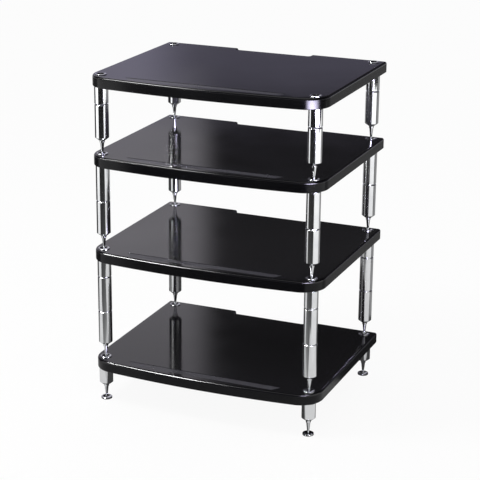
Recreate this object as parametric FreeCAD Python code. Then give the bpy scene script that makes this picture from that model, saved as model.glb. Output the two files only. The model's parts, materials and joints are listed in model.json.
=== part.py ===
import FreeCAD, Part
import math
import os

from FreeCAD import Vector

# Free-standing rack of four boards on screwed pillars. All lengths are in millimetres.
# Origin: on the floor, under the middle of the boards. +X is right, +Y is to the rear, +Z is up.

# Pillars
pillar_spacing_x = 512.0
pillar_spacing_y = 386.0
pillar_diameter = 32.0
groove_chamfer = 1.8
short_spacer_length = 42.0
long_spacer_length = 85.0
end_piece_length = 77.5
foot_length = 38.5
end_cone_height = 7.5
end_face_diameter = 13.0

# Boards
board_thickness = 25.0
side_overhang = 26.0
rear_overhang = 24.0
front_reach = 46.0
front_bow = 18.0
front_corner_radius = 56.0
rear_corner_radius = 6.0
top_edge_radius = 5.0
bottom_edge_radius = 1.5

# Cable notch in the rear edge
notch_width = 188.0
notch_depth = 19.0
notch_corner_radius = 5.0

# Shallow flat recess in the top, behind the bowed front edge
recess_length = 382.0
recess_width = 22.0
recess_depth = 0.6
recess_end_slant = 16.0
recess_setback = 29.0

# Cups, which clamp the board to the pillar under it
cup_diameter = 26.0
cup_rim_height = 2.0
cup_rim_chamfer = 0.6
cup_dish_diameter = 21.0
cup_dish_depth = 4.5
cup_hub_diameter = 16.0
cup_hub_depth = 8.0

# Threads that join the modules
stud_diameter = 10.0
stud_engagement = 13.0
thread_chamfer = 0.8

# Spikes
spike_shank_diameter = 8.0
spike_shank_length = 24.0
spike_collar_diameter = 12.0
spike_collar_height = 4.5
spike_collar_flats = 10.0
spike_taper_top_diameter = 9.6
spike_taper_end_diameter = 4.0
spike_taper_length = 26.0
spike_point_length = 3.0
spike_tip_diameter = 0.8

# Floor discs
disc_diameter = 26.0
disc_height = 5.0
disc_edge_chamfer = 0.8
disc_dish_diameter = 20.0
disc_dish_depth = 3.2
dish_floor_diameter = 1.6

# Clearances, how far a cut runs past the face that it opens, and how closely an edge is level
thread_clearance = 0.05
hole_clearance = 0.2
bore_end_clearance = 1.0
tip_clearance = 0.3
cut_overrun = 10.0
level_tolerance = 0.01

full_turn = 360.0
up = Vector(0, 0, 1)

# Sizes that follow from the ones above
board_width = pillar_spacing_x + 2 * side_overhang
board_depth = pillar_spacing_y + front_reach + rear_overhang
front_y = -board_depth / 2
rear_y = board_depth / 2
pillar_radius = pillar_diameter / 2
spike_reach = spike_collar_height + spike_taper_length + spike_point_length
stud_bore_depth = stud_engagement + bore_end_clearance
spike_bore_depth = spike_shank_length + bore_end_clearance

# Where the pillars stand, seen from above
corners = {
    "front_left": (-pillar_spacing_x / 2, front_y + front_reach),
    "front_right": (pillar_spacing_x / 2, front_y + front_reach),
    "rear_left": (-pillar_spacing_x / 2, rear_y - rear_overhang),
    "rear_right": (pillar_spacing_x / 2, rear_y - rear_overhang),
}

# Levels from the floor up, each with its pillar's modules from the board down
levels = {
    "bottom": ("foot",),
    "lower": ("short_spacer", "long_spacer", "end_piece"),
    "upper": ("long_spacer", "end_piece"),
    "top": ("short_spacer", "end_piece"),
}
module_lengths = {
    "short_spacer": short_spacer_length,
    "long_spacer": long_spacer_length,
    "end_piece": end_piece_length + end_cone_height,
    "foot": foot_length + end_cone_height,
}


def turned(profile):
    """Solid turned about the Z axis from points of radius and height."""
    points = [Vector(radius, 0, height) for radius, height in profile]
    face = Part.Face(Part.makePolygon(points + points[:1]))
    return face.revolve(Vector(), up, full_turn)


def placed(shape, x, y, z):
    """Copy of a shape, moved to a place."""
    copy = shape.copy()
    copy.translate(Vector(x, y, z))
    return copy


def on_corners(shape, z):
    """One copy of a shape on each pillar's axis, as a group of separate solids."""
    return Part.makeCompound([placed(shape, x, y, z) for x, y in corners.values()])


# Boards

def arc_about(center, radius, start, middle):
    """Arc about a centre, from one direction through another to as far again."""
    points = []
    for angle in (start, middle, 2 * middle - start):
        points.append(center + Vector(radius * math.cos(angle), radius * math.sin(angle), 0))
    return Part.Arc(*points).toShape()


def board_outline():
    """Closed outline of a board, seen from above, with every stretch tangent to the next."""
    half_width = board_width / 2
    half_notch = notch_width / 2
    quarter = math.pi / 2

    # The bowed front passes through the corners of the plain rectangle, front_bow behind its middle.
    front_radius = (half_width ** 2 + front_bow ** 2) / (2 * front_bow)
    front_center = Vector(0, front_y + front_radius, 0)

    # The front corner arc touches the side and, from inside, the front arc.
    corner_x = half_width - front_corner_radius
    corner_angle = math.asin(corner_x / (front_radius - front_corner_radius))
    corner_y = front_center.y - (front_radius - front_corner_radius) * math.cos(corner_angle)
    corner_center = Vector(corner_x, corner_y, 0)
    front = arc_about(front_center, front_radius, -quarter - corner_angle, -quarter)
    front_corner = arc_about(
        corner_center, front_corner_radius, -quarter + corner_angle, (-quarter + corner_angle) / 2
    )

    rear_center = Vector(half_width - rear_corner_radius, rear_y - rear_corner_radius, 0)
    rear_corner = arc_about(rear_center, rear_corner_radius, 0, quarter / 2)
    mouth_center = Vector(half_notch + notch_corner_radius, rear_y - notch_corner_radius, 0)
    notch_mouth = arc_about(mouth_center, notch_corner_radius, quarter, 3 * quarter / 2)
    floor_center = Vector(
        half_notch - notch_corner_radius, rear_y - notch_depth + notch_corner_radius, 0
    )
    notch_floor = arc_about(floor_center, notch_corner_radius, 0, -quarter / 2)

    # The right half of the outline, in order, is mirrored for the left half.
    right_arcs = [front_corner, rear_corner, notch_mouth, notch_floor]
    right_edges = []
    previous = None
    for arc in right_arcs:
        if previous is not None:
            right_edges.append(Part.makeLine(previous.lastVertex().Point, arc.firstVertex().Point))
        right_edges.append(arc)
        previous = arc
    left_edges = [edge.mirror(Vector(), Vector(1, 0, 0)) for edge in right_edges]
    notch_back_end = right_edges[-1].lastVertex().Point
    notch_back = Part.makeLine(notch_back_end, Vector(-notch_back_end.x, notch_back_end.y, 0))
    edges = [front] + right_edges + [notch_back] + left_edges
    return Part.Wire(Part.__sortEdges__(edges))


def recess_cutter():
    """Flat bar with slanted ends that sinks into the board's top at height zero."""
    rear_x = recess_length / 2
    front_x = rear_x - recess_end_slant
    middle_y = front_y + recess_setback
    front_edge = middle_y - recess_width / 2
    rear_edge = middle_y + recess_width / 2
    floor = [
        Vector(-front_x, front_edge, -recess_depth),
        Vector(front_x, front_edge, -recess_depth),
        Vector(rear_x, rear_edge, -recess_depth),
        Vector(-rear_x, rear_edge, -recess_depth),
    ]
    return Part.Face(Part.makePolygon(floor + floor[:1])).extrude(Vector(0, 0, cut_overrun))


def cup_hole():
    """Stepped hole for a cup's hub and stem, standing with the board's top at height zero."""
    hub_radius = cup_hub_diameter / 2 + hole_clearance
    stem_radius = stud_diameter / 2 + hole_clearance
    hub_floor = -(cup_hub_depth + hole_clearance)
    return turned([
        (0, cut_overrun),
        (hub_radius, cut_overrun),
        (hub_radius, hub_floor),
        (stem_radius, hub_floor),
        (stem_radius, -board_thickness - cut_overrun),
        (0, -board_thickness - cut_overrun),
    ])


def rim_edges(solid, height):
    """Edges of a solid that lie flat at one height."""
    found = []
    for edge in solid.Edges:
        box = edge.BoundBox
        if abs(box.ZMin - height) < level_tolerance and box.ZLength < level_tolerance:
            found.append(edge)
    return found


def make_board():
    """Board with rounded edges, recess and cup holes, its top at height zero."""
    blank = Part.Face(board_outline()).extrude(Vector(0, 0, -board_thickness))
    board = blank.makeFillet(top_edge_radius, rim_edges(blank, 0))
    board = board.makeFillet(bottom_edge_radius, rim_edges(board, -board_thickness))
    cutters = [placed(cup_hole(), x, y, 0) for x, y in corners.values()]
    return board.cut(cutters + [recess_cutter()]).Solids[0]


# Pillar modules, each standing on height zero

def bore_profile(radius, depth, mouth_height, inward):
    """Points of a blind bore, from its mouth to the axis."""
    floor_height = mouth_height + inward * depth
    return [(radius, mouth_height), (radius, floor_height), (0, floor_height)]


def make_spacer(length):
    """Plain module with a threaded bore and a chamfer at each end."""
    bore_radius = stud_diameter / 2 + thread_clearance
    top_bore = bore_profile(bore_radius, stud_bore_depth, length, -1)
    bottom_bore = bore_profile(bore_radius, stud_bore_depth, 0, 1)
    return turned([
        (pillar_radius - groove_chamfer, 0),
        (pillar_radius, groove_chamfer),
        (pillar_radius, length - groove_chamfer),
        (pillar_radius - groove_chamfer, length),
    ] + top_bore + bottom_bore[::-1])


def make_end_piece(length):
    """Lowest module: threaded for a stud or cup above, coned and bored for a spike below."""
    top_bore = bore_profile(stud_diameter / 2 + thread_clearance, stud_bore_depth, length, -1)
    spike_bore = bore_profile(spike_shank_diameter / 2 + thread_clearance, spike_bore_depth, 0, 1)
    return turned([
        (end_face_diameter / 2, 0),
        (pillar_radius, end_cone_height),
        (pillar_radius, length - groove_chamfer),
        (pillar_radius - groove_chamfer, length),
    ] + top_bore + spike_bore[::-1])


def make_module(kind):
    """Pillar module of one kind."""
    if kind in ("end_piece", "foot"):
        return make_end_piece(module_lengths[kind])
    return make_spacer(module_lengths[kind])


def make_stud():
    """Threaded stud, centred on the joint between two modules."""
    radius = stud_diameter / 2
    return turned([
        (0, -stud_engagement),
        (radius - thread_chamfer, -stud_engagement),
        (radius, thread_chamfer - stud_engagement),
        (radius, stud_engagement - thread_chamfer),
        (radius - thread_chamfer, stud_engagement),
        (0, stud_engagement),
    ])


# Cups, spikes and floor discs

def make_cup():
    """Dished cup with its hub and threaded stem, the board's top at height zero."""
    radius = cup_diameter / 2
    stem_radius = stud_diameter / 2
    stem_end = -board_thickness - stud_engagement
    dish_floor = cup_rim_height - cup_dish_depth
    return turned([
        (0, dish_floor),
        (dish_floor_diameter / 2, dish_floor),
        (cup_dish_diameter / 2, cup_rim_height),
        (radius - cup_rim_chamfer, cup_rim_height),
        (radius, cup_rim_height - cup_rim_chamfer),
        (radius, 0),
        (cup_hub_diameter / 2, 0),
        (cup_hub_diameter / 2, -cup_hub_depth),
        (stem_radius, -cup_hub_depth),
        (stem_radius, stem_end + thread_chamfer),
        (stem_radius - thread_chamfer, stem_end),
        (0, stem_end),
    ])


def make_spike():
    """Spike with its threaded shank, the collar's upper face at height zero."""
    shank_radius = spike_shank_diameter / 2
    collar_radius = spike_collar_diameter / 2
    taper_end = -spike_collar_height - spike_taper_length
    spike = turned([
        (0, spike_shank_length),
        (shank_radius - thread_chamfer, spike_shank_length),
        (shank_radius, spike_shank_length - thread_chamfer),
        (shank_radius, 0),
        (collar_radius, 0),
        (collar_radius, -spike_collar_height),
        (spike_taper_top_diameter / 2, -spike_collar_height),
        (spike_taper_end_diameter / 2, taper_end),
        (spike_tip_diameter / 2, -spike_reach),
        (0, -spike_reach),
    ])
    # Two flats on the collar take a spanner.
    flat_depth = collar_radius - spike_collar_flats / 2
    blank = Part.makeBox(flat_depth + cut_overrun, spike_collar_diameter, spike_collar_height)
    right_flat = placed(blank, spike_collar_flats / 2, -collar_radius, -spike_collar_height)
    left_flat = right_flat.mirror(Vector(), Vector(1, 0, 0))
    return spike.cut([right_flat, left_flat]).Solids[0]


def make_disc():
    """Dished disc that a foot spike stands in, resting on height zero."""
    radius = disc_diameter / 2
    dish_floor = disc_height - disc_dish_depth
    return turned([
        (0, 0),
        (radius - disc_edge_chamfer, 0),
        (radius, disc_edge_chamfer),
        (radius, disc_height - disc_edge_chamfer),
        (radius - disc_edge_chamfer, disc_height),
        (disc_dish_diameter / 2, disc_height),
        (dish_floor_diameter / 2, dish_floor),
        (0, dish_floor),
    ])


# The whole rack

def level_heights():
    """Height of each level's pillar ends and board top, from the floor up."""
    heights = {}
    dish_floor = disc_height - disc_dish_depth
    for level, modules in levels.items():
        pillar_end = dish_floor + tip_clearance + spike_reach
        board_top = pillar_end + sum(module_lengths[kind] for kind in modules) + board_thickness
        heights[level] = (pillar_end, board_top)
        dish_floor = board_top + cup_rim_height - cup_dish_depth
    return heights


def build_rack():
    """Every piece of the rack in its place, by name."""
    pieces = {}
    board = make_board()
    cup = make_cup()
    stud = make_stud()
    spike = make_spike()
    disc = make_disc()
    for level, (pillar_end, board_top) in level_heights().items():
        pieces[level + "_shelf"] = placed(board, 0, 0, board_top)
        pieces[level + "_cups"] = on_corners(cup, board_top)
        joints = []
        module_top = board_top - board_thickness
        for kind in levels[level]:
            module = make_module(kind)
            module_bottom = module_top - module_lengths[kind]
            # The lower level's long spacers, all alike, are one group.
            if level == "lower" and kind == "long_spacer":
                pieces["lower_long_spacers"] = on_corners(module, module_bottom)
            else:
                for corner, (x, y) in corners.items():
                    pieces[f"{level}_{kind}_{corner}"] = placed(module, x, y, module_bottom)
            if kind != levels[level][-1]:
                joints += on_corners(stud, module_bottom).Solids
            module_top = module_bottom
        if joints:
            pieces[level + "_studs"] = Part.makeCompound(joints)
        for corner, (x, y) in corners.items():
            pieces[f"{level}_spike_{corner}"] = placed(spike, x, y, pillar_end)
    for corner, (x, y) in corners.items():
        pieces[f"floor_disc_{corner}"] = placed(disc, x, y, 0)
    return pieces


os.makedirs("parts", exist_ok=True)
for name, shape in build_rack().items():
    shape.exportStep(f"parts/{name}.step")
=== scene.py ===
"""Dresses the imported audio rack: lacquered boards, polished pillars, cups, spikes, discs and the stage."""

import json
import math

import bmesh
import bpy
from bpy.props import FloatProperty, FloatVectorProperty, IntProperty, PointerProperty
from mathutils import Matrix, Vector

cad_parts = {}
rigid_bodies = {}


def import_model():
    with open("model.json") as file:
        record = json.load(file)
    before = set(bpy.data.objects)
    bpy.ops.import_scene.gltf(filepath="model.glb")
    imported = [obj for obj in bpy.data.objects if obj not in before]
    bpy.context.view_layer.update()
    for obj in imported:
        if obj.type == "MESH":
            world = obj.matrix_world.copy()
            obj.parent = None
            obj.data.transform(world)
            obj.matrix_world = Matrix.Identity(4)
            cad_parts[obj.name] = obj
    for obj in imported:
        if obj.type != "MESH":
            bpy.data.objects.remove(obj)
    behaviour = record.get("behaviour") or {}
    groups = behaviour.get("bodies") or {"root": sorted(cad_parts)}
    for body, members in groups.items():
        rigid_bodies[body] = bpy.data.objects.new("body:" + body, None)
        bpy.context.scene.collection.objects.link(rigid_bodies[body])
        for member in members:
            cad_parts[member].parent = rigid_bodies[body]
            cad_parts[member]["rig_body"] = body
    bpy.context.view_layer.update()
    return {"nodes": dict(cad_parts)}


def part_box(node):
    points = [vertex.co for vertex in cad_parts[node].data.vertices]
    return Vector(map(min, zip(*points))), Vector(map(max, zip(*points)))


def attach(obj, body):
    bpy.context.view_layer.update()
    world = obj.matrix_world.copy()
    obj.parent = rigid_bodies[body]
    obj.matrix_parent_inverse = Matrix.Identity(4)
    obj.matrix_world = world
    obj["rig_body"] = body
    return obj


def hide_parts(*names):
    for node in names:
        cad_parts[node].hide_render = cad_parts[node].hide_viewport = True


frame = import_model()
node_boxes = {node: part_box(node) for node in frame["nodes"]}

bl_info = {
    "name": "Audio Rack Builder",
    "version": (1, 0, 0),
    "blender": (4, 5, 0),
    "location": "3D View > Sidebar > Rack",
    "description": "Builds the dressed pieces of a spiked audio rack around its packed model",
    "category": "Object",
}

CORNERS = ("front_left", "front_right", "rear_left", "rear_right")
QUARTER_TURN = math.pi / 2
FULL_TURN = 2 * math.pi
UP = Vector((0, 0, 1))
ORIGIN = Vector((0, 0, 0))
MERGE_DISTANCE = 1e-6

# Texture detail, and the parts of a noise's range that count as haze, specks and smears
HAZE_DETAIL = 4
PLAIN_DETAIL = 1
CLOUD_RANGE = (0.3, 0.7)
SPECK_RANGE = (0.72, 0.80)
SMEAR_RANGE = (0.45, 0.75)

# Shares of a finish's roughness: the least and the most that haze leaves, and what a handled patch adds
HAZE_SHARES = (0.75, 1.3)
PATCH_SHARE = 0.5

# Order of a board's materials, and how far an upright face's normal may lean
GLOSS_SLOT, EDGE_SLOT, STRIP_SLOT = range(3)
UPRIGHT_SHARE = 0.01

# Facets across a broken edge
BROKEN_EDGE_STEPS = 3

# Ridge of a thread: the share of the core's radius where it starts, and the facets of one turn
RIDGE_CORE_SHARE = 0.98
RIDGE_STEPS = 20

# Shares of a thread's pitch: half the ridge's foot, half its crest, and the height where it begins
RIDGE_FOOT_SHARE = 0.45
RIDGE_CREST_SHARE = 0.06
RIDGE_START_SHARE = 0.6

# Order of the floor's sectors, the lowest first
GROUND_LAYER, REAR_LAYER, NEAR_LAYER, TOP_LAYER = range(1, 5)

# Brightness of the wall round the stage by degrees of elevation, in its dark and its pale stretch
DARK_STOPS = (
    (0, 0.23), (14.0, 0.23), (14.4, 0.02), (17, 0.04),
    (19.5, 0.09), (20.5, 0.02), (23.3, 0.06), (38, 0.02),
)
PALE_STOPS = (
    (0, 0.3), (11, 0.5), (14.0, 0.56), (14.4, 0.56), (17, 0.6),
    (18.5, 0.78), (21, 0.62), (23.5, 0.62), (30, 0.3), (38, 0.02),
)


def length_prop(name, description, default):
    """Length in metres."""
    return FloatProperty(
        name=name, description=description, default=default, min=0, unit="LENGTH", precision=5
    )


def angle_prop(name, description, default):
    """Angle, given in degrees and kept in radians."""
    return FloatProperty(
        name=name, description=description, default=math.radians(default), subtype="ANGLE"
    )


def share_prop(name, description, default):
    """Share between none and all."""
    return FloatProperty(
        name=name, description=description, default=default, min=0, max=1, subtype="FACTOR"
    )


def color_prop(name, description, default):
    """Linear colour."""
    return FloatVectorProperty(
        name=name, description=description, default=default, size=3, min=0, max=1, subtype="COLOR"
    )


def count_prop(name, description, default):
    """Whole number of steps."""
    return IntProperty(name=name, description=description, default=default, min=1)


def glow_prop(name, description, default):
    """Plain number from zero up, such as a brightness, where one is white."""
    return FloatProperty(name=name, description=description, default=default, min=0)


def place_prop(name, description, default):
    """Point in the frame."""
    return FloatVectorProperty(
        name=name, description=description, default=default, size=3, subtype="TRANSLATION"
    )


def plan_prop(name, description, default):
    """Place on the floor."""
    return FloatVectorProperty(
        name=name, description=description, default=default, size=2, subtype="TRANSLATION"
    )


# Sizes and colours that a user may change

class RackBoardSettings(bpy.types.PropertyGroup):
    """Shape of the four boards"""

    front_bow: length_prop("Front bow", "How far the front's middle stands before its ends", 0.018)
    front_corner: length_prop("Front corner radius", "Radius of the two front corners", 0.056)
    rear_corner: length_prop("Rear corner radius", "Radius of the two rear corners", 0.006)
    top_rounding: length_prop("Top rounding", "Radius of the rounded top edge", 0.005)
    bottom_rounding: length_prop("Bottom rounding", "Radius of the rounded bottom edge", 0.0015)
    notch_width: length_prop("Notch width", "Width of the cable notch in the rear edge", 0.188)
    notch_depth: length_prop("Notch depth", "Depth of the cable notch", 0.019)
    notch_corner: length_prop("Notch corner radius", "Radius of the notch's corners", 0.005)
    recess_length: length_prop("Recess length", "Length of the shallow recess along its rear edge", 0.382)
    recess_width: length_prop("Recess width", "Width of the recess from front to rear", 0.022)
    recess_depth: length_prop("Recess depth", "Depth of the recess", 0.0006)
    recess_slant: length_prop("Recess end slant", "How far each end of the recess slants in", 0.016)
    recess_setback: length_prop("Recess setback", "From the front's middle to the recess's middle", 0.029)
    pocket_diameter: length_prop("Pocket diameter", "Diameter of the pocket under each cup", 0.0164)
    pocket_depth: length_prop("Pocket depth", "Depth of the pocket under each cup", 0.0082)
    front_steps: count_prop("Front steps", "Facets along half of the bowed front", 40)
    corner_steps: count_prop("Corner steps", "Facets round a front corner", 24)
    small_steps: count_prop("Small corner steps", "Facets round a small corner", 8)
    rounding_steps: count_prop("Rounding steps", "Facets across a rounded edge", 8)


class RackPillarSettings(bpy.types.PropertyGroup):
    """Shape of the pillar modules"""

    groove_chamfer: length_prop("Groove chamfer", "Chamfer at a module's end, half of a groove", 0.0018)
    cone_height: length_prop("Cone height", "Height of the cone at a pillar's lower end", 0.0075)
    end_face: length_prop("End face diameter", "Diameter of the pillar's lower end face", 0.013)
    stud_bore: length_prop("Stud bore diameter", "Bore for the stud between two modules", 0.0101)
    stud_bore_depth: length_prop("Stud bore depth", "Depth of the stud's bore", 0.014)
    spike_bore: length_prop("Spike bore diameter", "Bore for the spike's thread", 0.0081)
    spike_bore_depth: length_prop("Spike bore depth", "Depth of the spike's bore", 0.025)
    rounding: length_prop("Edge rounding", "Broken edge on every turned corner", 0.00025)
    steps: count_prop("Steps", "Facets round a pillar", 96)


class RackFittingSettings(bpy.types.PropertyGroup):
    """Shape of the cups, spikes and floor discs"""

    cup_rim: length_prop("Cup rim height", "Height of a cup's rim above the board", 0.002)
    cup_chamfer: length_prop("Cup rim chamfer", "Chamfer outside a cup's rim", 0.0006)
    cup_dish: length_prop("Cup dish diameter", "Diameter of a cup's dish", 0.021)
    cup_dish_depth: length_prop("Cup dish depth", "Depth of a cup's dish", 0.0045)
    cup_hub: length_prop("Cup hub diameter", "Diameter of the hub sunk in the board", 0.016)
    cup_hub_depth: length_prop("Cup hub depth", "Depth of the hub in the board", 0.008)
    cup_stem: length_prop("Cup stem diameter", "Diameter of the stem through the board", 0.010)
    stem_chamfer: length_prop("Stem chamfer", "Chamfer at a thread's end", 0.0008)
    dish_floor: length_prop("Dish floor diameter", "Flat at the bottom of a dish", 0.0016)
    shank: length_prop("Shank diameter", "Outer diameter of a spike's thread", 0.008)
    shank_core: length_prop("Shank core diameter", "Diameter under the thread", 0.0067)
    shank_length: length_prop("Shank length", "Length of the threaded shank", 0.024)
    thread_pitch: length_prop("Thread pitch", "Rise of the thread in one turn", 0.00125)
    collar: length_prop("Collar diameter", "Diameter of a spike's collar", 0.012)
    collar_height: length_prop("Collar height", "Height of the collar", 0.0045)
    collar_flats: length_prop("Collar flats", "Across the two spanner flats", 0.010)
    taper_top: length_prop("Taper top diameter", "Diameter under the collar", 0.0096)
    taper_end: length_prop("Taper end diameter", "Diameter where the point starts", 0.004)
    point_length: length_prop("Point length", "Length of the point", 0.003)
    tip: length_prop("Tip diameter", "Diameter of the blunted tip", 0.0008)
    disc_chamfer: length_prop("Disc chamfer", "Chamfer on a floor disc's edges", 0.0008)
    disc_dish: length_prop("Disc dish diameter", "Diameter of a floor disc's dish", 0.020)
    disc_dish_depth: length_prop("Disc dish depth", "Depth of a floor disc's dish", 0.0032)
    rounding: length_prop("Edge rounding", "Broken edge on every turned corner", 0.0002)
    steps: count_prop("Steps", "Facets round a cup or disc", 64)
    spike_steps: count_prop("Spike steps", "Facets round a spike", 40)


class RackFinishSettings(bpy.types.PropertyGroup):
    """Colours, polish and fine structure of the finishes"""

    lacquer: color_prop("Lacquer", "Colour of the black lacquer", (0.0035, 0.0034, 0.0045))
    lacquer_dust: color_prop("Lacquer dust", "Colour of the finest dust on the lacquer", (0.02, 0.02, 0.024))
    lacquer_rough: share_prop("Lacquer roughness", "Roughness of clean lacquer", 0.09)
    edge_rough: share_prop("Edge roughness", "Roughness of the satin edges", 0.2)
    edge_gloss: share_prop("Edge gloss", "Specular level of the satin edges", 0.22)
    lacquer_gloss: share_prop("Lacquer gloss", "Specular level of the polished faces", 0.5)
    # Much lighter than the lacquer: painted sheen on the recess floor, standing in for its brighter
    # reflection
    strip: color_prop("Satin strip", "Colour of the recess's satin floor", (0.048, 0.047, 0.056))
    strip_rough: share_prop("Strip roughness", "Roughness of the recess's satin floor", 0.25)
    lacquer_index: glow_prop("Lacquer index", "Refractive index of the lacquer", 1.5)
    haze_size: length_prop("Haze size", "Size of the polishing haze's clouds", 0.2)
    peel_size: length_prop("Orange peel size", "Size of the lacquer's faint waves", 0.004)
    peel_depth: length_prop("Orange peel depth", "Depth of the lacquer's faint waves", 0.000004)
    speck_size: length_prop("Speck size", "Size of the dust specks", 0.0007)
    polish: color_prop("Polished metal", "Colour of the pillars", (0.91, 0.92, 0.93))
    polish_low: color_prop("Polished metal, dull", "Colour of the pillars where handled", (0.83, 0.84, 0.86))
    polish_rough: share_prop("Polished roughness", "Roughness of the polished pillars", 0.08)
    polish_lines: length_prop("Polishing lines", "Spacing of the turned lines on the pillars", 0.0004)
    chrome: color_prop("Bright fittings", "Colour of cups, spikes and discs", (0.80, 0.81, 0.83))
    chrome_low: color_prop("Bright fittings, dull", "Colour of the fittings where worn", (0.66, 0.67, 0.69))
    chrome_rough: share_prop("Bright roughness", "Roughness of the bright fittings", 0.08)
    chrome_lines: length_prop("Fitting lines", "Spacing of the turned lines on the fittings", 0.0002)
    steel: color_prop("Plain steel", "Colour of the hidden studs", (0.45, 0.45, 0.46))
    steel_low: color_prop("Plain steel, dark", "Colour in the studs' turned lines", (0.30, 0.30, 0.31))
    steel_rough: share_prop("Steel roughness", "Roughness of the studs", 0.3)
    steel_lines: length_prop("Stud lines", "Spacing of the turned lines on the studs", 0.00125)
    line_depth: length_prop("Line depth", "Depth of the turned lines", 0.000002)
    smear_size: length_prop("Smear size", "Size of the smears on bright metal", 0.04)


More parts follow.
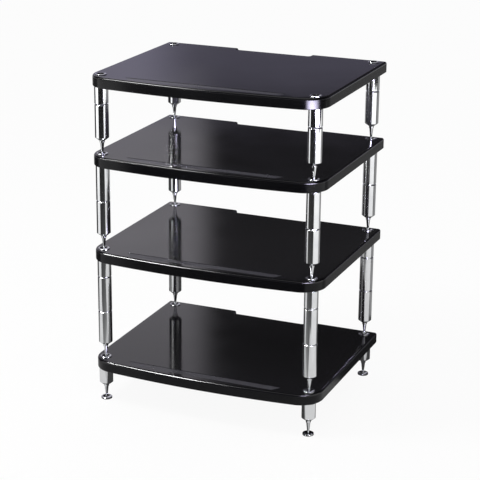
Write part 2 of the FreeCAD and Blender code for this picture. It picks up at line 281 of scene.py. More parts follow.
class RackStageSettings(bpy.types.PropertyGroup):
    """Floor, reflectors, light and camera"""

    floor_half: length_prop("Floor half size", "Half of the floor's width", 14.0)
    floor_color: color_prop("Floor", "Colour of the pale floor", (0.92, 0.92, 0.92))
    floor_glow: share_prop("Floor white", "Share of plain white in what is seen of the floor", 0.93)
    world_strength: glow_prop("Surround", "Strength of the white surround as light", 0.65)
    lamp_power: FloatProperty(
        name="Lamp", description="Power of the overhead lamp", default=25.0, min=0, unit="POWER"
    )
    lamp_width: length_prop("Lamp width", "Width of the overhead lamp", 0.7)
    lamp_depth: length_prop("Lamp depth", "Depth of the overhead lamp", 0.55)
    lamp_place: place_prop("Lamp place", "Place of the overhead lamp", (-1.1, -0.9, 2.3))
    lamp_aim: place_prop("Lamp aim", "Point that the lamp faces", (0.0, 0.0, 0.45))
    sector_lift: length_prop("Sector lift", "Height of each floor sector above the one below it", 0.0002)
    sector_step: angle_prop("Sector step", "Angle of one facet of a floor sector", 5.0)
    ground_start: length_prop("Ground start", "Radius where the dark ground begins", 0.42)
    ground_end: length_prop("Ground end", "Radius where the dark ground ends", 6.0)
    ground_glow: glow_prop("Ground brightness", "Brightness of the ground where it begins", 0.41)
    ground_falloff: glow_prop("Ground falloff", "Power by which the ground darkens with distance", 1.74)
    rear_angle: angle_prop("Rear start", "Angle from the front where the floor's rear half begins", 112.0)
    rear_radius: length_prop("Rear radius", "Radius where the shade behind the rack gives way to grey", 0.75)
    rear_glow: glow_prop("Rear brightness", "Brightness of the grey rear", 0.27)
    near_radius: length_prop("Near radius", "Radius of the pale ground round the feet", 0.52)
    near_glow: glow_prop("Near brightness", "Brightness of the ground round the feet", 0.5)
    under_radius: length_prop("Under radius", "Radius of the shade under the rack", 0.33)
    under_glow: glow_prop("Under brightness", "Brightness of the shade under and behind the rack", 0.05)
    left_near: plan_prop("Left card, near end", "Plan place of the left card's front end", (-0.47, -0.60))
    left_far: plan_prop("Left card, far end", "Plan place of the left card's rear end", (-0.75, -0.30))
    left_height: length_prop("Left card height", "Height of the left card", 0.7)
    right_near: plan_prop("Right card, near end", "Plan place of the right card's front end", (0.557, -0.69))
    right_far: plan_prop("Right card, far end", "Plan place of the right card's rear end", (0.90, 0.26))
    right_height: length_prop("Right card height", "Height of the right card", 0.595)
    glint_near: plan_prop("Glint card, near end", "Plan place of its front end", (0.40, -0.79))
    glint_far: plan_prop("Glint card, far end", "Plan place of its rear end", (0.77, -0.24))
    glint_bottom: length_prop("Glint card bottom", "Height of the soft bright card's lower edge", 0.595)
    glint_top: length_prop("Glint card top", "Height of its upper edge", 0.715)
    glint_peak: glow_prop("Glint brightness", "Brightness in the middle of the soft bright card", 130.0)
    front_left: plan_prop("Front card, left end", "Plan place of the front card's left end", (-1.25, -0.50))
    front_right: plan_prop("Front card, right end", "Plan place of its right end", (-0.55, -1.05))
    front_bottom: length_prop("Front card bottom", "Height of the front card's lower edge", 1.05)
    front_top: length_prop("Front card top", "Height of its upper edge", 1.6)
    front_glow: glow_prop("Front brightness", "Brightness of the front card", 90.0)
    shade_left: plan_prop("Shade, left end", "Plan place of the shade's left end", (-0.78, -0.28))
    shade_right: plan_prop("Shade, right end", "Plan place of its right end", (-0.28, -0.66))
    shade_bottom: length_prop("Shade bottom", "Height of the shade's lower edge", 0.82)
    shade_top: length_prop("Shade top", "Height of its upper edge", 1.2)
    card_low: glow_prop("Card foot", "Brightness of the cards at the floor", 0.72)
    card_high: glow_prop("Card at one metre", "Brightness of the cards a metre up", 2.4)
    spread_start: length_prop("Spread start", "Radius where the pale floor before the cards begins", 0.36)
    spread_end: length_prop("Spread end", "Radius where it ends", 0.95)
    spread_glow: glow_prop("Spread brightness", "Brightness of the floor before the cards", 0.65)
    left_spread: angle_prop("Left spread", "Angle where the floor before the left card begins", -72.0)
    left_sweep: angle_prop("Left sweep", "Angle that the floor before the left card takes up", 40.0)
    right_spread: angle_prop("Right spread", "Angle where the floor before the right card begins", 24.0)
    right_sweep: angle_prop("Right sweep", "Angle that the floor before the right card takes up", 81.0)
    wall_radius: length_prop("Wall radius", "Radius of the dark wall round the stage", 40.0)
    wall_height: length_prop("Wall height", "Height of the dark wall", 80.0)
    wall_steps: count_prop("Wall steps", "Facets round the wall", 64)
    wall_low: color_prop("Wall, low", "Tint of the wall near the floor", (0.78, 0.74, 1.0))
    wall_high: color_prop("Wall, high", "Tint of the wall higher up", (0.95, 0.92, 1.0))
    low_end: angle_prop("Low end", "Elevation where the wall's low part ends", 14.0)
    high_start: angle_prop("High start", "Elevation where its high part begins", 14.4)
    pale_start: angle_prop("Pale start", "Angle from straight behind where the pale stretch begins", -23.4)
    pale_full: angle_prop("Pale full", "Angle where it is fully pale", -24.9)
    soft_start: angle_prop("Soft start", "Angle where its softer low part begins", -24.2)
    soft_full: angle_prop("Soft full", "Angle where its low part is fully pale", -27.2)
    pale_fade: angle_prop("Pale fade", "Angle where it begins to fade again", -50.0)
    pale_end: angle_prop("Pale end", "Angle where it ends", -65.0)
    camera_place: place_prop("Camera", "Place of the camera", (1.39736, -3.31997, 1.54750))
    camera_azimuth: angle_prop("Azimuth", "Turn of the camera to the right", 22.705)
    camera_elevation: angle_prop("Elevation", "Tilt of the camera downwards", 18.020)
    camera_roll: angle_prop("Roll", "Lean of the camera", 0.520)
    camera_lens: FloatProperty(name="Lens", description="Focal length", default=120.711, unit="CAMERA")
    camera_sensor: FloatProperty(name="Sensor", description="Sensor width", default=36.0, unit="CAMERA")


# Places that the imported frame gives

def body_of(node):
    """Body that a node of the frame rides on."""
    return frame["nodes"][node]["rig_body"]


def pillar_axes(node):
    """Plan places of the pillars that a node stands on: one, or all four for a group."""
    named = [corner for corner in CORNERS if node.endswith(corner)] or CORNERS
    places = []
    for corner in named:
        low, high = node_boxes["floor_disc_" + corner]
        places.append((low + high) / 2)
    return places


def nodes_with(*words):
    """Names of the frame's nodes that hold one of some words."""
    return [node for node in frame["nodes"] if any(word in node for word in words)]


# Shaders

def new_material(name, kind):
    """Material of one shader, with its node tree and that shader."""
    material = bpy.data.materials.new(name)
    material.use_nodes = True
    tree = material.node_tree
    tree.nodes.clear()
    output = tree.nodes.new("ShaderNodeOutputMaterial")
    shader = tree.nodes.new(kind)
    tree.links.new(shader.outputs[0], output.inputs["Surface"])
    return material, tree, shader


def object_place(tree):
    """Socket of a point's place in the frame."""
    return tree.nodes.new("ShaderNodeTexCoord").outputs["Object"]


def noise(tree, coords, repeats, detail):
    """Noise with so many repeats to the metre along each axis."""
    mapping = tree.nodes.new("ShaderNodeMapping")
    mapping.inputs["Scale"].default_value = repeats
    tree.links.new(coords, mapping.inputs["Vector"])
    texture = tree.nodes.new("ShaderNodeTexNoise")
    texture.inputs["Scale"].default_value = 1
    texture.inputs["Detail"].default_value = detail
    tree.links.new(mapping.outputs["Vector"], texture.inputs["Vector"])
    return texture.outputs["Fac"]


def cloudy(tree, coords, size, detail):
    """Even noise with clouds of about one size."""
    return noise(tree, coords, (1 / size, 1 / size, 1 / size), detail)


def ranged(tree, value, start, end, low, high, interpolation="LINEAR", clamp=True):
    """Value mapped from one range to another."""
    mapped = tree.nodes.new("ShaderNodeMapRange")
    mapped.interpolation_type = interpolation
    mapped.clamp = clamp
    tree.links.new(value, mapped.inputs["Value"])
    mapped.inputs["From Min"].default_value = start
    mapped.inputs["From Max"].default_value = end
    mapped.inputs["To Min"].default_value = low
    mapped.inputs["To Max"].default_value = high
    return mapped.outputs["Result"]


def computed(tree, operation, first, second=0):
    """Result of one sum on one or two values, the second of them a socket or a number."""
    node = tree.nodes.new("ShaderNodeMath")
    node.operation = operation
    tree.links.new(first, node.inputs[0])
    if isinstance(second, bpy.types.NodeSocket):
        tree.links.new(second, node.inputs[1])
    else:
        node.inputs[1].default_value = second
    return node.outputs["Value"]


def mixed_value(tree, factor, first, second):
    """Value between two, by a factor."""
    mix = tree.nodes.new("ShaderNodeMix")
    for socket, name in ((factor, "Factor"), (first, "A"), (second, "B")):
        tree.links.new(socket, mix.inputs[name])
    return mix.outputs["Result"]


def mixed_color(tree, factor, first, second):
    """Colour between two, by a factor."""
    mix = tree.nodes.new("ShaderNodeMix")
    mix.data_type = "RGBA"
    tree.links.new(factor, mix.inputs["Factor"])
    mix.inputs["A"].default_value = (*first, 1)
    mix.inputs["B"].default_value = (*second, 1)
    return mix.outputs["Result"]


def bumped(tree, height, depth):
    """Normal from a height of so many metres."""
    bump = tree.nodes.new("ShaderNodeBump")
    bump.inputs["Strength"].default_value = 1
    bump.inputs["Distance"].default_value = depth
    tree.links.new(height, bump.inputs["Height"])
    return bump.outputs["Normal"]


def lacquer_material(name, finish, color, rough, gloss):
    """Lacquer: soft orange peel, polishing haze and specks of dust."""
    material, tree, shader = new_material(name, "ShaderNodeBsdfPrincipled")
    coords = object_place(tree)
    haze = cloudy(tree, coords, finish.haze_size, HAZE_DETAIL)
    specks = cloudy(tree, coords, finish.speck_size, PLAIN_DETAIL)
    dust = ranged(tree, specks, *SPECK_RANGE, 0, 1)
    tree.links.new(mixed_color(tree, dust, color, finish.lacquer_dust), shader.inputs["Base Color"])
    total = ranged(tree, haze, *CLOUD_RANGE, HAZE_SHARES[0] * rough, HAZE_SHARES[1] * rough)
    total = computed(tree, "ADD", total, ranged(tree, dust, 0, 1, 0, rough))
    tree.links.new(total, shader.inputs["Roughness"])
    peel = cloudy(tree, coords, finish.peel_size, PLAIN_DETAIL)
    tree.links.new(bumped(tree, peel, finish.peel_depth), shader.inputs["Normal"])
    shader.inputs["IOR"].default_value = finish.lacquer_index
    shader.inputs["Specular IOR Level"].default_value = gloss
    return material


def metal_material(name, finish, bright, dull, rough, lines):
    """Turned and polished metal: fine lines round the axis, smears and handled patches."""
    material, tree, shader = new_material(name, "ShaderNodeBsdfPrincipled")
    coords = object_place(tree)
    along = 1 / finish.smear_size
    turning = noise(tree, coords, (along, along, 1 / lines), PLAIN_DETAIL)
    smears = cloudy(tree, coords, finish.smear_size, HAZE_DETAIL)
    patches = ranged(tree, smears, *SMEAR_RANGE, 0, 1)
    tree.links.new(mixed_color(tree, patches, bright, dull), shader.inputs["Base Color"])
    total = ranged(tree, turning, *CLOUD_RANGE, HAZE_SHARES[0] * rough, HAZE_SHARES[1] * rough)
    total = computed(tree, "ADD", total, ranged(tree, patches, 0, 1, 0, PATCH_SHARE * rough))
    tree.links.new(total, shader.inputs["Roughness"])
    tree.links.new(bumped(tree, turning, finish.line_depth), shader.inputs["Normal"])
    shader.inputs["Metallic"].default_value = 1
    return material


# Meshes

def round_profile(points, rounding):
    """Bmesh that holds a profile of radius and height, with its inner corners broken."""
    bm = bmesh.new()
    verts = [bm.verts.new((radius, 0, height)) for radius, height in points]
    for pair in zip(verts, verts[1:]):
        bm.edges.new(pair)
    bmesh.ops.bevel(
        bm, geom=verts[1:-1], offset=rounding, offset_type="OFFSET", segments=BROKEN_EDGE_STEPS,
        profile=0.5, affect="VERTICES", clamp_overlap=True, material=-1,
    )
    return bm


def turned(points, rounding, steps):
    """Closed turned body about the Z axis, from a profile that starts and ends on it."""
    bm = round_profile(points, rounding)
    bmesh.ops.spin(
        bm, geom=bm.verts[:] + bm.edges[:], cent=ORIGIN, axis=UP, angle=FULL_TURN, steps=steps,
        use_merge=True,
    )
    bmesh.ops.remove_doubles(bm, verts=bm.verts[:], dist=MERGE_DISTANCE)
    bmesh.ops.recalc_face_normals(bm, faces=bm.faces[:])
    return bm


def set_out(bm, places):
    """Moves a body to the first of some places, with a copy at each of the others."""
    original = bm.verts[:] + bm.edges[:] + bm.faces[:]
    for place in places[1:]:
        copied = bmesh.ops.duplicate(bm, geom=original)
        verts = [item for item in copied["geom"] if isinstance(item, bmesh.types.BMVert)]
        bmesh.ops.translate(bm, verts=verts, vec=place)
    verts = [item for item in original if isinstance(item, bmesh.types.BMVert)]
    bmesh.ops.translate(bm, verts=verts, vec=places[0])


def make_piece(bm, name, node, materials):
    """Adds a piece from a finished bmesh: it stands for a node of the frame and rides on its body."""
    for face in bm.faces:
        face.smooth = True
    mesh = bpy.data.meshes.new(name)
    bm.to_mesh(mesh)
    bm.free()
    for material in materials:
        mesh.materials.append(material)
    piece = bpy.data.objects.new(name, mesh)
    bpy.context.scene.collection.objects.link(piece)
    weighted = piece.modifiers.new("even_shading", "WEIGHTED_NORMAL")
    weighted.mode = "FACE_AREA"
    weighted.keep_sharp = True
    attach(piece, body_of(node))
    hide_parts(node)


def upright(x, y, z):
    """Point in the frame."""
    return Vector((x, y, z))


def outer_radius(node):
    """Radius of the round bodies that a node holds."""
    _, high = node_boxes[node]
    return high.x - max(axis.x for axis in pillar_axes(node))


def stand_piece(bm, prefix, node, height, material):
    """Adds a piece with a body at each of its node's pillars, raised to a height."""
    set_out(bm, [upright(axis.x, axis.y, height) for axis in pillar_axes(node)])
    make_piece(bm, prefix + node, node, [material])


# Boards

def swept_corner(bm, start, center, angle, steps):
    """Last vertex of an arc swept from a vertex about an upright axis."""
    swept = bmesh.ops.spin(bm, geom=[start], cent=center, axis=UP, angle=angle, steps=steps)
    return swept["geom_last"][0]


def joined_vertex(bm, start, x, y):
    """New vertex, joined to another by a straight edge."""
    end = bm.verts.new((x, y, start.co.z))
    bm.edges.new((start, end))
    return end


def trace_outline(bm, board, half_width, front, rear):
    """Edges of a board's outline at height zero: its right half, mirrored."""
    front_radius = (half_width ** 2 + board.front_bow ** 2) / (2 * board.front_bow)
    reach = front_radius - board.front_corner
    corner_x = half_width - board.front_corner
    bow_angle = math.asin(corner_x / reach)
    bow_center = upright(0, front + front_radius, 0)
    corner_center = upright(corner_x, bow_center.y - reach * math.cos(bow_angle), 0)
    half_notch = board.notch_width / 2
    notch_floor = rear - board.notch_depth
    notch_corner = board.notch_corner

    vertex = bm.verts.new((0, front, 0))
    vertex = swept_corner(bm, vertex, bow_center, bow_angle, board.front_steps)
    vertex = swept_corner(bm, vertex, corner_center, QUARTER_TURN - bow_angle, board.corner_steps)
    vertex = joined_vertex(bm, vertex, half_width, rear - board.rear_corner)
    rear_center = upright(half_width - board.rear_corner, rear - board.rear_corner, 0)
    vertex = swept_corner(bm, vertex, rear_center, QUARTER_TURN, board.small_steps)
    vertex = joined_vertex(bm, vertex, half_notch + notch_corner, rear)
    mouth_center = upright(half_notch + notch_corner, rear - notch_corner, 0)
    vertex = swept_corner(bm, vertex, mouth_center, QUARTER_TURN, board.small_steps)
    vertex = joined_vertex(bm, vertex, half_notch, notch_floor + notch_corner)
    floor_center = upright(half_notch - notch_corner, notch_floor + notch_corner, 0)
    vertex = swept_corner(bm, vertex, floor_center, -QUARTER_TURN, board.small_steps)
    joined_vertex(bm, vertex, 0, notch_floor)
    half = bm.verts[:] + bm.edges[:]
    bmesh.ops.mirror(bm, geom=half, matrix=Matrix(), merge_dist=MERGE_DISTANCE, axis="X")
    bmesh.ops.remove_doubles(bm, verts=bm.verts[:], dist=MERGE_DISTANCE)
    return bm.edges[:]


def extruded_ring(bm, ring):
    """Vertices and edges of the second ring that a wall from a closed ring of edges ends in."""
    wall = bmesh.ops.extrude_edge_only(bm, edges=ring)["geom"]
    verts = [item for item in wall if isinstance(item, bmesh.types.BMVert)]
    edges = [item for item in wall if isinstance(item, bmesh.types.BMEdge)]
    return verts, [edge for edge in edges if all(vertex in verts for vertex in edge.verts)]


def sink_floor(bm, rim, depth, material):
    """Walls down from a closed rim, and a flat floor of one material with crisp edges."""
    lower, floor_edges = extruded_ring(bm, rim)
    bmesh.ops.translate(bm, verts=lower, vec=-UP * depth)
    for face in bmesh.ops.contextual_create(bm, geom=floor_edges)["faces"]:
        face.material_index = material
    for edge in rim + floor_edges:
        edge.smooth = False


def sink_recess(bm, board, front):
    """Sinks the shallow recess behind the front edge, and gives its rim."""
    rear_x = board.recess_length / 2
    front_x = rear_x - board.recess_slant
    middle = front + board.recess_setback
    front_y = middle - board.recess_width / 2
    rear_y = middle + board.recess_width / 2
    first = bm.verts.new((-front_x, front_y, 0))
    second = joined_vertex(bm, first, front_x, front_y)
    third = joined_vertex(bm, second, rear_x, rear_y)
    fourth = joined_vertex(bm, third, -rear_x, rear_y)
    bm.edges.new((fourth, first))
    rim = list({edge for vertex in (first, third) for edge in vertex.link_edges})
    sink_floor(bm, rim, board.recess_depth, STRIP_SLOT)
    return rim


def sink_pocket(bm, board, steps, place):
    """Sinks the round pocket that a cup's hub stands in, and gives its rim."""
    ring = bmesh.ops.create_circle(bm, cap_ends=False, radius=board.pocket_diameter / 2, segments=steps)
    bmesh.ops.translate(bm, verts=ring["verts"], vec=upright(place.x, place.y, 0))
    rim = list({edge for vertex in ring["verts"] for edge in vertex.link_edges})
    sink_floor(bm, rim, board.pocket_depth, GLOSS_SLOT)
    return rim


def board_bmesh(board, steps, node):
    """Lacquered board with rounded edges, recess and pockets."""
    low, high = node_boxes[node]
    bm = bmesh.new()
    top_edges = trace_outline(bm, board, high.x, low.y, high.y)
    lower, bottom_edges = extruded_ring(bm, top_edges)
    bmesh.ops.translate(bm, verts=lower, vec=-UP * (high.z - low.z))
    bmesh.ops.contextual_create(bm, geom=top_edges)
    bmesh.ops.contextual_create(bm, geom=bottom_edges)
    bmesh.ops.recalc_face_normals(bm, faces=bm.faces[:])
    for edges, rounding in ((top_edges, board.top_rounding), (bottom_edges, board.bottom_rounding)):
        bmesh.ops.bevel(
            bm, geom=edges, offset=rounding, offset_type="OFFSET", segments=board.rounding_steps,
            profile=0.5, affect="EDGES", clamp_overlap=False, material=-1,
        )
    for face in bm.faces:
        face.material_index = EDGE_SLOT if abs(face.normal.z) < UPRIGHT_SHARE else GLOSS_SLOT
    top = max((face for face in bm.faces if face.normal.z > 0), key=lambda face: face.calc_area())
    rim = top.edges[:]
    bmesh.ops.delete(bm, geom=[top], context="FACES_ONLY")
    openings = sink_recess(bm, board, low.y)
    for place in pillar_axes(node):
        openings += sink_pocket(bm, board, steps, place)
    bmesh.ops.triangle_fill(bm, edges=rim + openings, use_beauty=True, use_dissolve=False, normal=UP)
    bmesh.ops.recalc_face_normals(bm, faces=bm.faces[:])
    bmesh.ops.translate(bm, verts=bm.verts[:], vec=UP * high.z)
    return bm


class RACK_OT_boards(bpy.types.Operator):
    """Build the four lacquered boards"""

    bl_idname = "rack.boards"
    bl_label = "Boards"

    def execute(self, context):
        finish = context.scene.rack_finish
        looks = (
            ("gloss_lacquer", finish.lacquer, finish.lacquer_rough, finish.lacquer_gloss),
            ("satin_lacquer", finish.lacquer, finish.edge_rough, finish.edge_gloss),
            # Recess floor: its satin roughness is its own, and its lighter colour is painted sheen
            ("satin_strip", finish.strip, finish.strip_rough, finish.lacquer_gloss),
        )
        lacquers = [lacquer_material(name, finish, *look) for name, *look in looks]
        for node in nodes_with("_shelf"):
            bm = board_bmesh(context.scene.rack_board, context.scene.rack_fitting.steps, node)
            make_piece(bm, "lacquered_" + node, node, lacquers)
        return {"FINISHED"}


# Pillars

def module_profile(pillar, node, radius, height):
    """Profile of a pillar module, from its upper bore's floor round to its lower bore's."""
    chamfer = pillar.groove_chamfer
    stud = pillar.stud_bore / 2
    upper = [
        (0, height - pillar.stud_bore_depth),
        (stud, height - pillar.stud_bore_depth),
        (stud, height),
        (radius - chamfer, height),
        (radius, height - chamfer),
    ]
    if "end_piece" in node or "foot" in node:
        spike = pillar.spike_bore / 2
        return upper + [
            (radius, pillar.cone_height),
            (pillar.end_face / 2, 0),
            (spike, 0),
            (spike, pillar.spike_bore_depth),
            (0, pillar.spike_bore_depth),
        ]
    return upper + [
        (radius, chamfer),
        (radius - chamfer, 0),
        (stud, 0),
        (stud, pillar.stud_bore_depth),
        (0, pillar.stud_bore_depth),
    ]


class RACK_OT_pillars(bpy.types.Operator):
    """Build the polished pillar modules"""

    bl_idname = "rack.pillars"
    bl_label = "Pillars"

    def execute(self, context):
        pillar = context.scene.rack_pillar
        finish = context.scene.rack_finish
        metal = metal_material(
            "polished_metal", finish, finish.polish, finish.polish_low, finish.polish_rough,
            finish.polish_lines,
        )
        for node in nodes_with("_spacer", "_end_piece", "_foot"):
            low, high = node_boxes[node]
            profile = module_profile(pillar, node, outer_radius(node), high.z - low.z)
            bm = turned(profile, pillar.rounding, pillar.steps)
            stand_piece(bm, "polished_", node, low.z, metal)
        return {"FINISHED"}


# Cups, spikes and floor discs

def bright_metal(finish):
    """Material of the small bright fittings, made once."""
    made = bpy.data.materials.get("bright_metal")
    if made is not None:
        return made
    return metal_material(
        "bright_metal", finish, finish.chrome, finish.chrome_low, finish.chrome_rough, finish.chrome_lines
    )


def cup_profile(fitting, radius, rim_height, stem_end):
    """Profile of a cup from its dish round to its stem, the board's top at height zero."""
    hub = fitting.cup_hub / 2
    stem = fitting.cup_stem / 2
    dish_floor = rim_height - fitting.cup_dish_depth
    return [
        (0, dish_floor),
        (fitting.dish_floor / 2, dish_floor),
        (fitting.cup_dish / 2, rim_height),
        (radius - fitting.cup_chamfer, rim_height),
        (radius, rim_height - fitting.cup_chamfer),
        (radius, 0),
        (hub, 0),
        (hub, -fitting.cup_hub_depth),
        (stem, -fitting.cup_hub_depth),
        (stem, stem_end + fitting.stem_chamfer),
        (stem - fitting.stem_chamfer, stem_end),
        (0, stem_end),
    ]


class RACK_OT_cups(bpy.types.Operator):
    """Build the dished cups on the boards"""

    bl_idname = "rack.cups"
    bl_label = "Cups"

    def execute(self, context):
        fitting = context.scene.rack_fitting
        chrome = bright_metal(context.scene.rack_finish)
        for node in nodes_with("_cups"):
            low, high = node_boxes[node]
            board_top = high.z - fitting.cup_rim
            profile = cup_profile(fitting, outer_radius(node), fitting.cup_rim, low.z - board_top)
            bm = turned(profile, fitting.rounding, fitting.steps)
            stand_piece(bm, "bright_", node, board_top, chrome)
        return {"FINISHED"}


def spike_profile(fitting, height):
    """Profile of a spike from its shank's end down to its tip, the collar's top at height zero."""
    core = fitting.shank_core / 2
    collar = fitting.collar / 2
    reach = height - fitting.shank_length
    return [
        (0, fitting.shank_length),
        (core, fitting.shank_length),
        (core, 0),
        (collar, 0),
        (collar, -fitting.collar_height),
        (fitting.taper_top / 2, -fitting.collar_height),
        (fitting.taper_end / 2, fitting.point_length - reach),
        (fitting.tip / 2, -reach),
        (0, -reach),
    ]


def on_collar(vertex, fitting):
    """Whether a vertex is on the collar, between its top and its underside."""
    slack = fitting.rounding
    return -fitting.collar_height - slack < vertex.co.z < slack


def cut_flats(bm, fitting):
    """Two spanner flats on a spike's collar."""
    for side in (1, -1):
        faces = [face for face in bm.faces if all(on_collar(vertex, fitting) for vertex in face.verts)]
        edges = list({edge for face in faces for edge in face.edges})
        verts = list({vertex for face in faces for vertex in face.verts})
        bmesh.ops.bisect_plane(
            bm, geom=verts + edges + faces, dist=MERGE_DISTANCE, clear_outer=True,
            plane_co=Vector((side * fitting.collar_flats / 2, 0, 0)), plane_no=Vector((side, 0, 0)),
        )
        bmesh.ops.holes_fill(bm, edges=[edge for edge in bm.edges if edge.is_boundary], sides=0)


def wind_thread(bm, fitting):
    """Right-handed thread round a spike's shank, as a closed ridge."""
    core = RIDGE_CORE_SHARE * fitting.shank_core / 2
    pitch = fitting.thread_pitch
    foot = RIDGE_FOOT_SHARE * pitch
    crest = RIDGE_CREST_SHARE * pitch
    start = RIDGE_START_SHARE * pitch
    turns = round((fitting.shank_length - 2 * start) / pitch) - 1
    section = [
        (core, start - foot),
        (fitting.shank / 2, start - crest),
        (fitting.shank / 2, start + crest),
        (core, start + foot),
    ]
    verts = [bm.verts.new((radius, 0, height)) for radius, height in section]
    cap = bm.faces.new(verts)
    steps = turns * RIDGE_STEPS
    rise = UP * (turns * pitch / steps)
    bmesh.ops.spin(bm, geom=[cap], cent=ORIGIN, axis=UP, dvec=rise, angle=turns * FULL_TURN, steps=steps)


class RACK_OT_spikes(bpy.types.Operator):
    """Build the threaded spikes"""

    bl_idname = "rack.spikes"
    bl_label = "Spikes"

    def execute(self, context):
        fitting = context.scene.rack_fitting
        chrome = bright_metal(context.scene.rack_finish)
        for node in nodes_with("_spike_"):
            low, high = node_boxes[node]
            bm = turned(spike_profile(fitting, high.z - low.z), fitting.rounding, fitting.spike_steps)
            cut_flats(bm, fitting)
            wind_thread(bm, fitting)
            bmesh.ops.recalc_face_normals(bm, faces=bm.faces[:])
            stand_piece(bm, "bright_", node, high.z - fitting.shank_length, chrome)
        return {"FINISHED"}


def disc_profile(fitting, radius, height):
    """Profile of a floor disc from its underside round to its dish, the floor at height zero."""
    chamfer = fitting.disc_chamfer
    dish_floor = height - fitting.disc_dish_depth
    return [
        (0, 0),
        (radius - chamfer, 0),
        (radius, chamfer),
        (radius, height - chamfer),
        (radius - chamfer, height),
        (fitting.disc_dish / 2, height),
        (fitting.dish_floor / 2, dish_floor),
        (0, dish_floor),
    ]


class RACK_OT_discs(bpy.types.Operator):
    """Build the dished floor discs"""

    bl_idname = "rack.discs"
    bl_label = "Floor discs"

    def execute(self, context):
        fitting = context.scene.rack_fitting
        chrome = bright_metal(context.scene.rack_finish)
        for node in nodes_with("floor_disc_"):
            low, high = node_boxes[node]
            profile = disc_profile(fitting, outer_radius(node), high.z - low.z)
            bm = turned(profile, fitting.rounding, fitting.steps)
            stand_piece(bm, "bright_", node, low.z, chrome)
        return {"FINISHED"}


class RACK_OT_studs(bpy.types.Operator):
    """Finish the studs held inside the pillars"""

    bl_idname = "rack.studs"
    bl_label = "Studs"

    def execute(self, context):
        finish = context.scene.rack_finish
        steel = metal_material(
            "plain_steel", finish, finish.steel, finish.steel_low, finish.steel_rough, finish.steel_lines
        )
        for node in nodes_with("_studs"):
            mesh = frame["nodes"][node].data
            mesh.materials.clear()
            mesh.materials.append(steel)
        return {"FINISHED"}


# Stage

def stage_object(bm, name, material):
    """Stage piece from a finished bmesh."""
    mesh = bpy.data.meshes.new(name)
    bm.to_mesh(mesh)
    bm.free()
    mesh.materials.append(material)
    item = bpy.data.objects.new(name, mesh)
    bpy.context.scene.collection.objects.link(item)
    return item


def only_reflected(item):
    """Shows a stage piece in reflections and nowhere else."""
    item.visible_camera = False
    item.visible_diffuse = False
    item.visible_transmission = False
    item.visible_volume_scatter = False
    item.visible_shadow = False


def seen_rays(tree):
    """One where a ray comes from the camera, a gloss or a glass, and zero elsewhere."""
    path = tree.nodes.new("ShaderNodeLightPath")
    total = computed(tree, "ADD", path.outputs["Is Camera Ray"], path.outputs["Is Glossy Ray"])
    total = computed(tree, "ADD", total, path.outputs["Is Transmission Ray"])
    return ranged(tree, total, 0, 1, 0, 1)


def pale_floor(stage):
    """Wide pale floor: white to the eye, and still shaded under the rack."""
    material, tree, mix = new_material("pale_floor", "ShaderNodeMixShader")
    diffuse = tree.nodes.new("ShaderNodeBsdfDiffuse")
    diffuse.inputs["Color"].default_value = (*stage.floor_color, 1)
    glow = tree.nodes.new("ShaderNodeEmission")
    tree.links.new(ranged(tree, seen_rays(tree), 0, 1, 0, stage.floor_glow), mix.inputs["Fac"])
    tree.links.new(diffuse.outputs["BSDF"], mix.inputs[1])
    tree.links.new(glow.outputs["Emission"], mix.inputs[2])
    bm = bmesh.new()
    bmesh.ops.create_grid(bm, x_segments=1, y_segments=1, size=stage.floor_half)
    stage_object(bm, "pale_floor", material)


def floor_sector(stage, name, layer, glow, inner, outer, start, sweep, falloff=0):
    """Flat sector round the rack, seen only in reflections, that may darken with distance."""
    material, tree, shader = new_material(name, "ShaderNodeEmission")
    shader.inputs["Strength"].default_value = glow
    if falloff > 0:
        reach = tree.nodes.new("ShaderNodeVectorMath")
        reach.operation = "LENGTH"
        tree.links.new(object_place(tree), reach.inputs[0])
        steps = computed(tree, "DIVIDE", reach.outputs["Value"], inner)
        strength = computed(tree, "MULTIPLY", computed(tree, "POWER", steps, -falloff), glow)
        tree.links.new(strength, shader.inputs["Strength"])
    bm = bmesh.new()
    height = layer * stage.sector_lift
    ends = [bm.verts.new((0, -radius, height)) for radius in (inner, outer)]
    side = bm.edges.new(ends)
    bmesh.ops.rotate(bm, verts=ends, cent=ORIGIN, matrix=Matrix.Rotation(start, 3, "Z"))
    bmesh.ops.spin(
        bm, geom=ends + [side], cent=ORIGIN, axis=UP, angle=sweep, steps=round(sweep / stage.sector_step),
        use_merge=sweep == FULL_TURN,
    )
    only_reflected(stage_object(bm, name, material))


def floor_sectors(stage):
    """Dark ground: pale before the feet, grey far behind the rack, shaded under it and close behind."""
    rear_sweep = FULL_TURN - 2 * stage.rear_angle
    floor_sector(
        stage, "dark_ground", GROUND_LAYER, stage.ground_glow, stage.ground_start, stage.ground_end,
        0, FULL_TURN, stage.ground_falloff,
    )
    floor_sector(
        stage, "grey_rear", REAR_LAYER, stage.rear_glow, stage.rear_radius, stage.ground_end,
        stage.rear_angle, rear_sweep,
    )
    floor_sector(
        stage, "rear_shade", REAR_LAYER, stage.under_glow, stage.under_radius, stage.rear_radius,
        stage.rear_angle, rear_sweep,
    )
    floor_sector(
        stage, "near_ground", NEAR_LAYER, stage.near_glow, stage.under_radius, stage.near_radius,
        -stage.rear_angle, 2 * stage.rear_angle,
    )
    for name, start, sweep in (
        ("left_spread", stage.left_spread, stage.left_sweep),
        ("right_spread", stage.right_spread, stage.right_sweep),
    ):
        floor_sector(
            stage, name, TOP_LAYER, stage.spread_glow, stage.spread_start, stage.spread_end, start, sweep
        )
    floor_sector(stage, "under_shade", TOP_LAYER, stage.under_glow, 0, stage.under_radius, 0, FULL_TURN)


def split_axes(tree):
    """Sockets of a place's three coordinates, by name."""
    split = tree.nodes.new("ShaderNodeSeparateXYZ")
    tree.links.new(object_place(tree), split.inputs["Vector"])
    return split.outputs


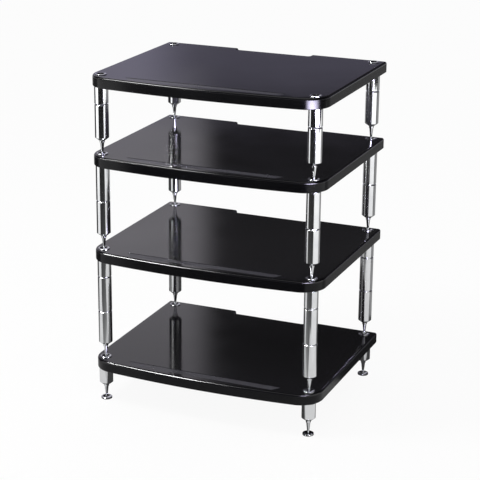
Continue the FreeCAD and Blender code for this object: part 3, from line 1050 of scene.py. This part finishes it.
def upright_sheet(near, far, bottom, top):
    """Upright rectangle between two plan places."""
    bm = bmesh.new()
    foot = bm.edges.new([bm.verts.new((*place, bottom)) for place in (near, far)])
    raised = bmesh.ops.extrude_edge_only(bm, edges=[foot])
    verts = [item for item in raised["geom"] if isinstance(item, bmesh.types.BMVert)]
    bmesh.ops.translate(bm, verts=verts, vec=UP * (top - bottom))
    return bm


def side_card(stage, name, near, far, height):
    """White card that stands beside the rack, seen only in reflections and dimmer towards the floor."""
    material, tree, shader = new_material(name, "ShaderNodeEmission")
    axes = split_axes(tree)
    square = computed(tree, "MULTIPLY", axes["Z"], axes["Z"])
    strength = ranged(tree, square, 0, 1, stage.card_low, stage.card_high, clamp=False)
    tree.links.new(strength, shader.inputs["Strength"])
    only_reflected(stage_object(upright_sheet(near, far, 0, height), name, material))


def plain_card(name, left, right, bottom, top, glow):
    """Card of one brightness, seen only in reflections."""
    material, _, shader = new_material(name, "ShaderNodeEmission")
    shader.inputs["Strength"].default_value = glow
    only_reflected(stage_object(upright_sheet(left, right, bottom, top), name, material))


def front_cards(stage):
    """Bright card for the glint on the lower boards' front edges, hidden from the upper ones by a shade."""
    plain_card(
        "front_card", stage.front_left, stage.front_right, stage.front_bottom, stage.front_top,
        stage.front_glow,
    )
    plain_card("front_shade", stage.shade_left, stage.shade_right, stage.shade_bottom, stage.shade_top, 0)


def swelling(tree, axis, low, high, peak):
    """Value that swells from zero at two ends of an axis to a peak halfway."""
    offset = computed(tree, "SUBTRACT", axis, (low + high) / 2)
    distance = computed(tree, "ABSOLUTE", offset)
    return ranged(tree, distance, 0, (high - low) / 2, peak, 0, "SMOOTHSTEP")


def glint_card(stage):
    """Soft-edged bright card near the right corner, seen only in reflections."""
    near = stage.glint_near
    far = stage.glint_far
    material, tree, shader = new_material("glint_card", "ShaderNodeEmission")
    axes = split_axes(tree)
    across = swelling(tree, axes["X"], near[0], far[0], 1)
    rising = swelling(tree, axes["Z"], stage.glint_bottom, stage.glint_top, stage.glint_peak)
    tree.links.new(computed(tree, "MULTIPLY", across, rising), shader.inputs["Strength"])
    shader.inputs["Color"].default_value = (*stage.wall_low, 1)
    sheet = upright_sheet(near, far, stage.glint_bottom, stage.glint_top)
    only_reflected(stage_object(sheet, "glint_card", material))


def wall_brightness(tree, elevation, stops):
    """Brightness by elevation, from pairs of degrees and brightness that start at zero degrees."""
    top = stops[-1][0]
    ramp = tree.nodes.new("ShaderNodeValToRGB")
    tree.links.new(ranged(tree, elevation, 0, math.radians(top), 0, 1), ramp.inputs["Fac"])
    for degrees, _ in stops[1:-1]:
        ramp.color_ramp.elements.new(degrees / top)
    for element, (_, brightness) in zip(ramp.color_ramp.elements, stops):
        element.color = (brightness, brightness, brightness, 1)
    return ramp.outputs["Color"]


def dark_wall(stage):
    """Round wall, seen only in reflections: dark, with one paler stretch behind the rack to the left."""
    material, tree, shader = new_material("dark_wall", "ShaderNodeEmission")
    axes = split_axes(tree)
    angle = computed(tree, "ARCTAN2", axes["X"], axes["Y"])
    elevation = computed(tree, "ARCTAN2", axes["Z"], stage.wall_radius)
    rise = ranged(tree, elevation, stage.low_end, stage.high_start, 0, 1)
    soft = ranged(tree, angle, stage.soft_full, stage.soft_start, 1, 0, "SMOOTHSTEP")
    crisp = ranged(tree, angle, stage.pale_full, stage.pale_start, 1, 0, "SMOOTHSTEP")
    kept = ranged(tree, angle, stage.pale_end, stage.pale_fade, 0, 1, "SMOOTHSTEP")
    share = computed(tree, "MULTIPLY", mixed_value(tree, rise, soft, crisp), kept)
    dark = wall_brightness(tree, elevation, DARK_STOPS)
    pale = wall_brightness(tree, elevation, PALE_STOPS)
    tree.links.new(mixed_value(tree, share, dark, pale), shader.inputs["Strength"])
    tree.links.new(mixed_color(tree, rise, stage.wall_low, stage.wall_high), shader.inputs["Color"])
    bm = bmesh.new()
    foot = bm.verts.new((0, stage.wall_radius, 0))
    head = bm.verts.new((0, stage.wall_radius, stage.wall_height))
    rib = bm.edges.new((foot, head))
    bmesh.ops.spin(
        bm, geom=[foot, head, rib], cent=ORIGIN, axis=UP, angle=FULL_TURN, steps=stage.wall_steps,
        use_merge=True,
    )
    only_reflected(stage_object(bm, "dark_wall", material))


def overhead_lamp(stage):
    """Soft rectangular lamp above the rack, which faces it."""
    light = bpy.data.lights.new("overhead_lamp", "AREA")
    light.shape = "RECTANGLE"
    light.size = stage.lamp_width
    light.size_y = stage.lamp_depth
    light.energy = stage.lamp_power
    lamp = bpy.data.objects.new("overhead_lamp", light)
    lamp.location = stage.lamp_place
    lamp.rotation_mode = "QUATERNION"
    lamp.rotation_quaternion = (Vector(stage.lamp_aim) - lamp.location).to_track_quat("-Z", "Y")
    lamp.visible_camera = False
    bpy.context.scene.collection.objects.link(lamp)


def white_surround(stage):
    """White world: full white to the eye and in reflections, softer as light."""
    world = bpy.data.worlds.new("white_surround")
    world.use_nodes = True
    tree = world.node_tree
    tree.nodes.clear()
    output = tree.nodes.new("ShaderNodeOutputWorld")
    surround = tree.nodes.new("ShaderNodeBackground")
    surround.inputs["Color"].default_value = (1, 1, 1, 1)
    strength = ranged(tree, seen_rays(tree), 0, 1, stage.world_strength, 1)
    tree.links.new(strength, surround.inputs["Strength"])
    tree.links.new(surround.outputs["Background"], output.inputs["Surface"])
    bpy.context.scene.world = world


def add_camera(stage):
    """Camera at the photograph's place."""
    data = bpy.data.cameras.new("rack_camera")
    data.sensor_width = stage.camera_sensor
    data.lens = stage.camera_lens
    camera = bpy.data.objects.new("rack_camera", data)
    turn = Matrix.Rotation(stage.camera_azimuth, 4, "Z")
    tilt = Matrix.Rotation(QUARTER_TURN - stage.camera_elevation, 4, "X")
    lean = Matrix.Rotation(stage.camera_roll, 4, "Z")
    camera.matrix_world = Matrix.Translation(stage.camera_place) @ turn @ tilt @ lean
    bpy.context.scene.collection.objects.link(camera)
    bpy.context.scene.camera = camera


class RACK_OT_stage(bpy.types.Operator):
    """Set the pale floor, the studio light and the camera"""

    bl_idname = "rack.stage"
    bl_label = "Stage"

    def execute(self, context):
        stage = context.scene.rack_stage
        pale_floor(stage)
        white_surround(stage)
        floor_sectors(stage)
        side_card(stage, "left_card", stage.left_near, stage.left_far, stage.left_height)
        side_card(stage, "right_card", stage.right_near, stage.right_far, stage.right_height)
        glint_card(stage)
        front_cards(stage)
        dark_wall(stage)
        overhead_lamp(stage)
        add_camera(stage)
        context.scene.view_settings.view_transform = "Standard"
        return {"FINISHED"}


class RACK_PT_builder(bpy.types.Panel):
    """Lists the steps that build the rack"""

    bl_idname = "RACK_PT_builder"
    bl_label = "Audio Rack"
    bl_space_type = "VIEW_3D"
    bl_region_type = "UI"
    bl_category = "Rack"

    def draw(self, context):
        for operator in OPERATORS:
            self.layout.operator(operator.bl_idname)
        for name in SETTINGS:
            group = getattr(context.scene, name)
            box = self.layout.box()
            for prop in group.bl_rna.properties:
                if not prop.is_readonly and prop.identifier != "name":
                    box.prop(group, prop.identifier)


SETTINGS = {
    "rack_board": RackBoardSettings,
    "rack_pillar": RackPillarSettings,
    "rack_fitting": RackFittingSettings,
    "rack_finish": RackFinishSettings,
    "rack_stage": RackStageSettings,
}
OPERATORS = (
    RACK_OT_boards,
    RACK_OT_pillars,
    RACK_OT_cups,
    RACK_OT_spikes,
    RACK_OT_discs,
    RACK_OT_studs,
    RACK_OT_stage,
)


def register():
    """Makes the settings, the steps and the panel known to Blender."""
    for name, group in SETTINGS.items():
        bpy.utils.register_class(group)
        setattr(bpy.types.Scene, name, PointerProperty(type=group))
    for operator in OPERATORS:
        bpy.utils.register_class(operator)
    bpy.utils.register_class(RACK_PT_builder)


def unregister():
    """Takes them away again."""
    bpy.utils.unregister_class(RACK_PT_builder)
    for operator in reversed(OPERATORS):
        bpy.utils.unregister_class(operator)
    for name, group in SETTINGS.items():
        delattr(bpy.types.Scene, name)
        bpy.utils.unregister_class(group)


def main():
    """Builds the whole rack on its stage."""
    register()
    bpy.ops.rack.boards()
    bpy.ops.rack.pillars()
    bpy.ops.rack.cups()
    bpy.ops.rack.spikes()
    bpy.ops.rack.discs()
    bpy.ops.rack.studs()
    bpy.ops.rack.stage()


if __name__ == "__main__":
    main()
